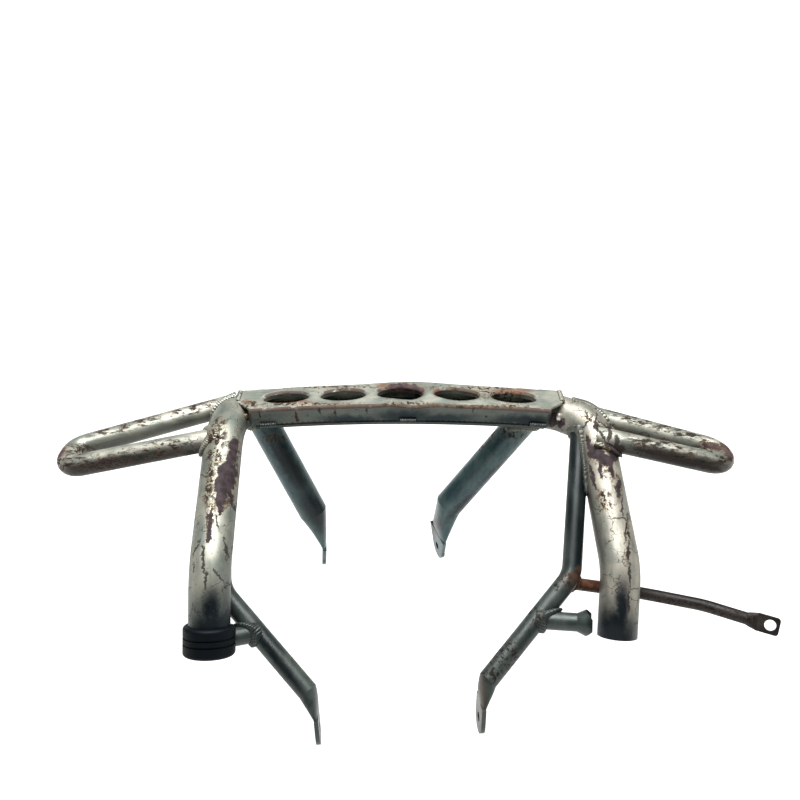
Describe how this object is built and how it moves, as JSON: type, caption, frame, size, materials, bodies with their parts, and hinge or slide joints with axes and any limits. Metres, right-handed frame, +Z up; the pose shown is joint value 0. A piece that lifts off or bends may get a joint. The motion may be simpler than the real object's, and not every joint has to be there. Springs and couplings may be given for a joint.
{
  "type": "atv front bumper",
  "caption": "Worn bent-tube front bumper with side guard loops, a perforated top channel, flattened bolt tabs, a stay rod and a rubber end cap.",
  "frame": {"origin": "middle of the bounding box on the floor, with the bumper lying on its four bolt tabs as in the picture", "axes": "+X from the capped foot's side to the stay rod's side, +Y towards the perforated channel, +Z up from the tabs to the tubes"},
  "size_m": [0.71, 0.3002, 0.2358],
  "materials": {
    "worn_silver_paint": "scratched silver-grey paint with rust patches",
    "grey_leg_paint": "dull green-grey paint",
    "painted_weld": "painted-over weld bead",
    "rusted_weld": "rusted weld bead",
    "rusted_rod": "dark brown, paint burnt off",
    "black_rubber": "soft matt rubber"
  },
  "bodies": {
    "root": {"perforated_channel": "worn_silver_paint", "closing_strip": "worn_silver_paint", "main_tube_left": "worn_silver_paint", "side_loop_left": "worn_silver_paint", "upper_leg_left": "grey_leg_paint", "lower_leg_left": "grey_leg_paint", "link_left": "grey_leg_paint", "weld_loop_left": "painted_weld", "weld_legs_left": "painted_weld", "weld_link_left": "painted_weld", "weld_seam_left": "painted_weld", "main_tube_right": "worn_silver_paint", "side_loop_right": "worn_silver_paint", "upper_leg_right": "grey_leg_paint", "lower_leg_right": "grey_leg_paint", "link_right": "grey_leg_paint", "weld_loop_right": "painted_weld", "weld_legs_right": "painted_weld", "weld_link_right": "painted_weld", "weld_seam_right": "painted_weld", "end_cap": "black_rubber", "stay_rod": "rusted_rod", "weld_rod": "rusted_weld", "weld_stitches": "painted_weld"}
  },
  "joints": []
}
